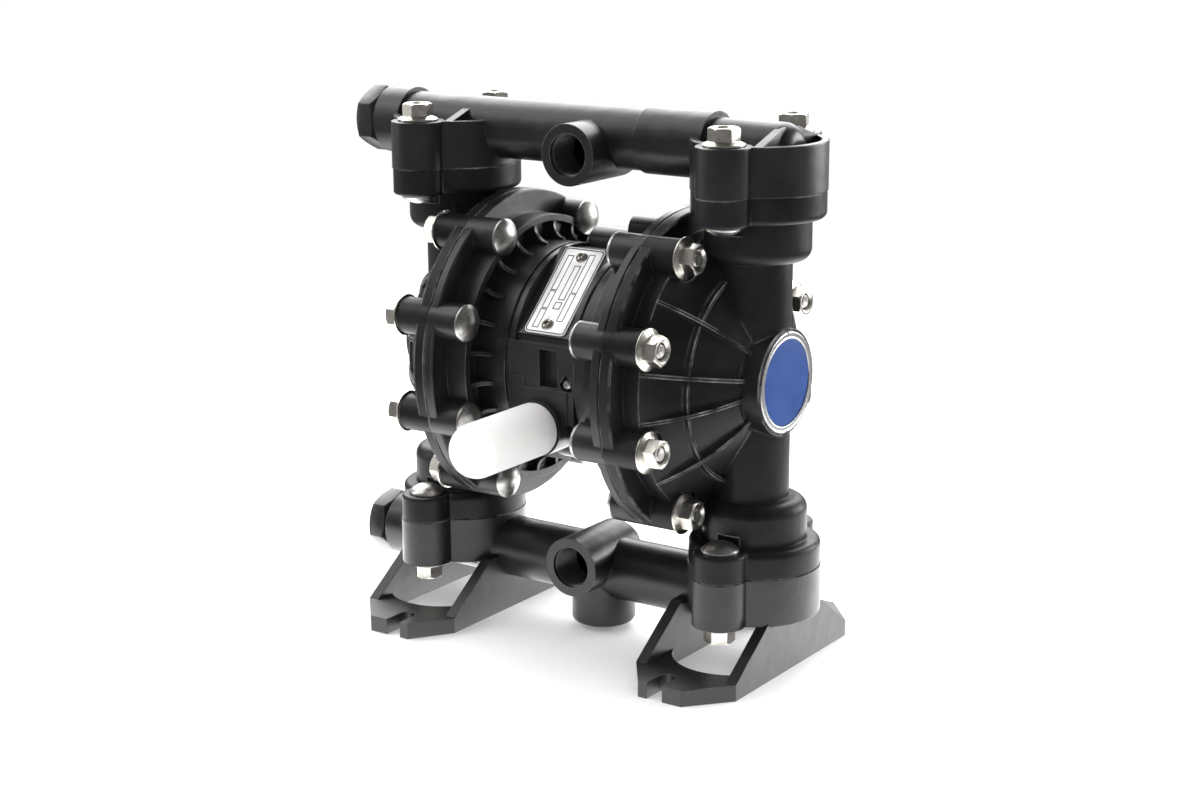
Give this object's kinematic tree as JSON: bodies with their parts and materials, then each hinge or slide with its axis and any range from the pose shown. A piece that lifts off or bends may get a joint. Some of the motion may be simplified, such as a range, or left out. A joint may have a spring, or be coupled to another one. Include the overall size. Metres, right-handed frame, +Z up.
{
  "type": "air-operated diaphragm pump",
  "caption": "Air-operated double diaphragm pump: ribbed plastic covers, upper and lower cross manifolds, slotted feet, steel bolts, round badges and an exhaust muffler.",
  "frame": {"origin": "on the floor, midway between the four foot slots, under the middle of the diaphragm shaft", "axes": "+X along the diaphragm shaft to the end without plugs, -Y the side of the fluid ports and the muffler, +Z up"},
  "size_m": [0.2615, 0.194, 0.2648],
  "materials": {
    "cover_plastic": "satin, moulded",
    "plug_plastic": "satin",
    "stainless": "polished",
    "muffler_white": "porous, matt",
    "plate_metal": "satin, bare",
    "badge_blue": "gloss blue with a silver border",
    "diaphragm_rubber": "matt",
    "seal_rubber": "matt",
    "ball_white": "smooth",
    "seat_plastic": "smooth",
    "shaft_steel": "ground",
    "air_plate_metal": "machined",
    "fluid_plate_plastic": "satin",
    "bearing_plastic": "smooth",
    "valve_plastic": "smooth",
    "valve_plate_hard": "lapped"
  },
  "bodies": {
    "pump_body": {"air_cover_gasket_left": "seal_rubber", "air_cover_gasket_right": "seal_rubber", "air_cover_left": "cover_plastic", "air_cover_right": "cover_plastic", "air_cover_screws_left": "stainless", "air_cover_screws_right": "stainless", "badge_left": "badge_blue", "badge_right": "badge_blue", "centre_housing": "cover_plastic", "cover_bolts_left": "stainless", "cover_bolts_right": "stainless", "cover_nuts_left": "stainless", "cover_nuts_right": "stainless", "diaphragm_left": "diaphragm_rubber", "diaphragm_right": "diaphragm_rubber", "fluid_cover_left": "cover_plastic", "fluid_cover_right": "cover_plastic", "ground_screw": "stainless", "inlet_end_plug": "plug_plastic", "inlet_foot_left": "cover_plastic", "inlet_foot_right": "cover_plastic", "inlet_manifold": "cover_plastic", "inlet_manifold_bolts": "stainless", "inlet_manifold_nuts": "stainless", "inlet_seat_o_ring_left": "seal_rubber", "inlet_seat_o_ring_right": "seal_rubber", "inlet_stub": "cover_plastic", "inlet_valve_seat_left": "seat_plastic", "inlet_valve_seat_right": "seat_plastic", "muffler": "muffler_white", "outlet_end_plug": "plug_plastic", "outlet_manifold": "cover_plastic", "outlet_manifold_bolts": "stainless", "outlet_manifold_nuts": "stainless", "outlet_seat_o_ring_left": "seal_rubber", "outlet_seat_o_ring_right": "seal_rubber", "outlet_valve_seat_left": "seat_plastic", "outlet_valve_seat_right": "seat_plastic", "rating_plate": "plate_metal", "rating_plate_screws": "stainless", "shaft_bearing_left": "bearing_plastic", "shaft_bearing_right": "bearing_plastic", "shaft_packing_left": "seal_rubber", "shaft_packing_right": "seal_rubber", "valve_cover": "cover_plastic", "valve_cover_screws": "stainless", "valve_gasket": "seal_rubber", "valve_plate": "valve_plate_hard"},
    "shaft_group": {"diaphragm_shaft": "shaft_steel", "air_side_plate_right": "air_plate_metal", "air_side_plate_left": "air_plate_metal", "fluid_side_plate_right": "fluid_plate_plastic", "fluid_side_plate_left": "fluid_plate_plastic"},
    "outlet_check_ball_right": {"outlet_check_ball_right": "ball_white"},
    "outlet_check_ball_left": {"outlet_check_ball_left": "ball_white"},
    "inlet_check_ball_right": {"inlet_check_ball_right": "ball_white"},
    "inlet_check_ball_left": {"inlet_check_ball_left": "ball_white"},
    "valve_carriage": {"valve_carriage": "valve_plastic"},
    "pilot_pin_right": {"pilot_pin_right": "stainless"},
    "pilot_pin_left": {"pilot_pin_left": "stainless"}
  },
  "joints": [
    {"name": "shaft_slide", "type": "slide", "parent": "pump_body", "child": "shaft_group", "axis": [1, 0, 0], "range_m": [-0.005, 0.005], "deforming": ["diaphragm_right", "diaphragm_left"]},
    {"name": "outlet_check_ball_right_lift", "type": "slide", "parent": "pump_body", "child": "outlet_check_ball_right", "axis": [0, 0, 1], "range_m": [0, 0.0045]},
    {"name": "outlet_check_ball_left_lift", "type": "slide", "parent": "pump_body", "child": "outlet_check_ball_left", "axis": [0, 0, 1], "range_m": [0, 0.0045]},
    {"name": "inlet_check_ball_right_lift", "type": "slide", "parent": "pump_body", "child": "inlet_check_ball_right", "axis": [0, 0, 1], "range_m": [0, 0.0045]},
    {"name": "inlet_check_ball_left_lift", "type": "slide", "parent": "pump_body", "child": "inlet_check_ball_left", "axis": [0, 0, 1], "range_m": [0, 0.0045]},
    {"name": "carriage_slide", "type": "slide", "parent": "pump_body", "child": "valve_carriage", "axis": [1, 0, 0], "range_m": [-0.004, 0.004]},
    {"name": "pilot_pin_right_slide", "type": "slide", "parent": "pump_body", "child": "pilot_pin_right", "axis": [1, 0, 0], "range_m": [-0.00175, 0.00175]},
    {"name": "pilot_pin_left_slide", "type": "slide", "parent": "pump_body", "child": "pilot_pin_left", "axis": [1, 0, 0], "range_m": [-0.00175, 0.00175]}
  ],
  "couplings": [
    {"joint": "pilot_pin_right_slide", "follows": "shaft_slide", "ratio": 0.35},
    {"joint": "pilot_pin_left_slide", "follows": "shaft_slide", "ratio": 0.35}
  ]
}
